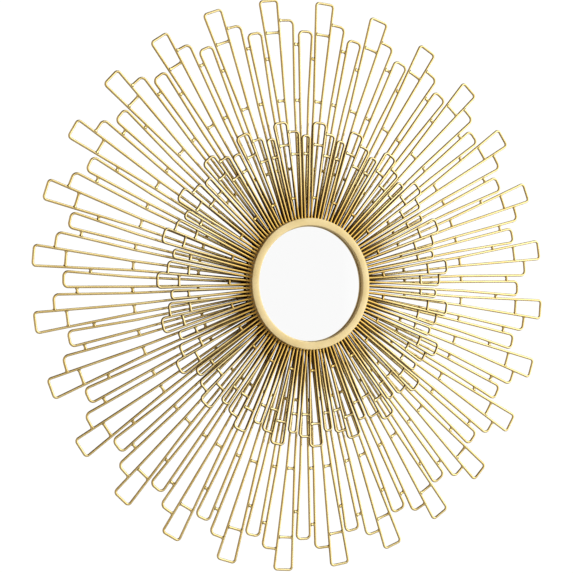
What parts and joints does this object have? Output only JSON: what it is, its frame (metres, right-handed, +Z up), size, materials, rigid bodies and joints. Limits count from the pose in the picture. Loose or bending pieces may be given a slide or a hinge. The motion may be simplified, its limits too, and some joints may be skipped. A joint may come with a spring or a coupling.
{
  "type": "sunburst wall mirror",
  "caption": "Round wall mirror in a deep ring, with two layers of bent wire rays fanned around it and D-ring hangers let into the rear board.",
  "frame": {"origin": "centre of the rear board's back face, on the wall plane", "axes": "+Z up, +Y into the wall, the mirror faces -Y"},
  "size_m": [0.8018, 0.0366, 0.8018],
  "materials": {
    "ray_gold": "satin antique gold lacquer on steel wire",
    "inner_ray_gold": "satin antique gold lacquer on steel wire, a shade deeper",
    "ring_gold": "fine-grained satin gold on rolled steel",
    "mirror_silver": "silvered float glass with a fine ground edge",
    "foam_tape": "closed-cell foam mounting tape",
    "fibreboard": "dark-stained fibreboard with a matt face",
    "zinc_steel": "bright zinc plate"
  },
  "bodies": {
    "mirror_frame": {"bezel_ring": "ring_gold", "mirror_glass": "mirror_silver", "glass_tape": "foam_tape", "carrier_board": "fibreboard", "hub_plate": "ray_gold", "rear_board": "fibreboard", "board_screws": "zinc_steel", "strap_screws": "zinc_steel", "hanger_strap_left": "zinc_steel", "hanger_strap_right": "zinc_steel", "outer_rays_01": "ray_gold", "outer_rays_02": "ray_gold", "outer_rays_03": "ray_gold", "outer_rays_04": "ray_gold", "outer_rays_05": "ray_gold", "outer_rays_06": "ray_gold", "outer_rays_07": "ray_gold", "outer_rays_08": "ray_gold", "outer_rays_09": "ray_gold", "outer_rays_10": "ray_gold", "outer_rays_11": "ray_gold", "outer_rays_12": "ray_gold", "outer_rays_13": "ray_gold", "outer_rays_14": "ray_gold", "inner_rays_01": "inner_ray_gold", "inner_rays_02": "inner_ray_gold", "inner_rays_03": "inner_ray_gold", "inner_rays_04": "inner_ray_gold", "inner_rays_05": "inner_ray_gold", "inner_rays_06": "inner_ray_gold", "inner_rays_07": "inner_ray_gold", "inner_rays_08": "inner_ray_gold", "inner_rays_09": "inner_ray_gold", "inner_rays_10": "inner_ray_gold", "inner_rays_11": "inner_ray_gold", "inner_rays_12": "inner_ray_gold", "inner_rays_13": "inner_ray_gold", "inner_rays_14": "inner_ray_gold", "inner_rays_15": "inner_ray_gold", "inner_rays_16": "inner_ray_gold", "inner_rays_17": "inner_ray_gold", "inner_rays_18": "inner_ray_gold", "inner_rays_19": "inner_ray_gold", "inner_rays_20": "inner_ray_gold", "inner_rays_21": "inner_ray_gold", "inner_rays_22": "inner_ray_gold", "inner_rays_23": "inner_ray_gold"},
    "d_ring_left": {"d_ring_left": "zinc_steel"},
    "d_ring_right": {"d_ring_right": "zinc_steel"}
  },
  "joints": [
    {"name": "d_ring_left_swing", "type": "hinge", "parent": "mirror_frame", "child": "d_ring_left", "pos_m": [-0.045, -0.00352, 0.018], "axis": [1, 0, 0], "range_deg": [0, 180]},
    {"name": "d_ring_right_swing", "type": "hinge", "parent": "mirror_frame", "child": "d_ring_right", "pos_m": [0.045, -0.00352, 0.018], "axis": [1, 0, 0], "range_deg": [0, 180]}
  ]
}
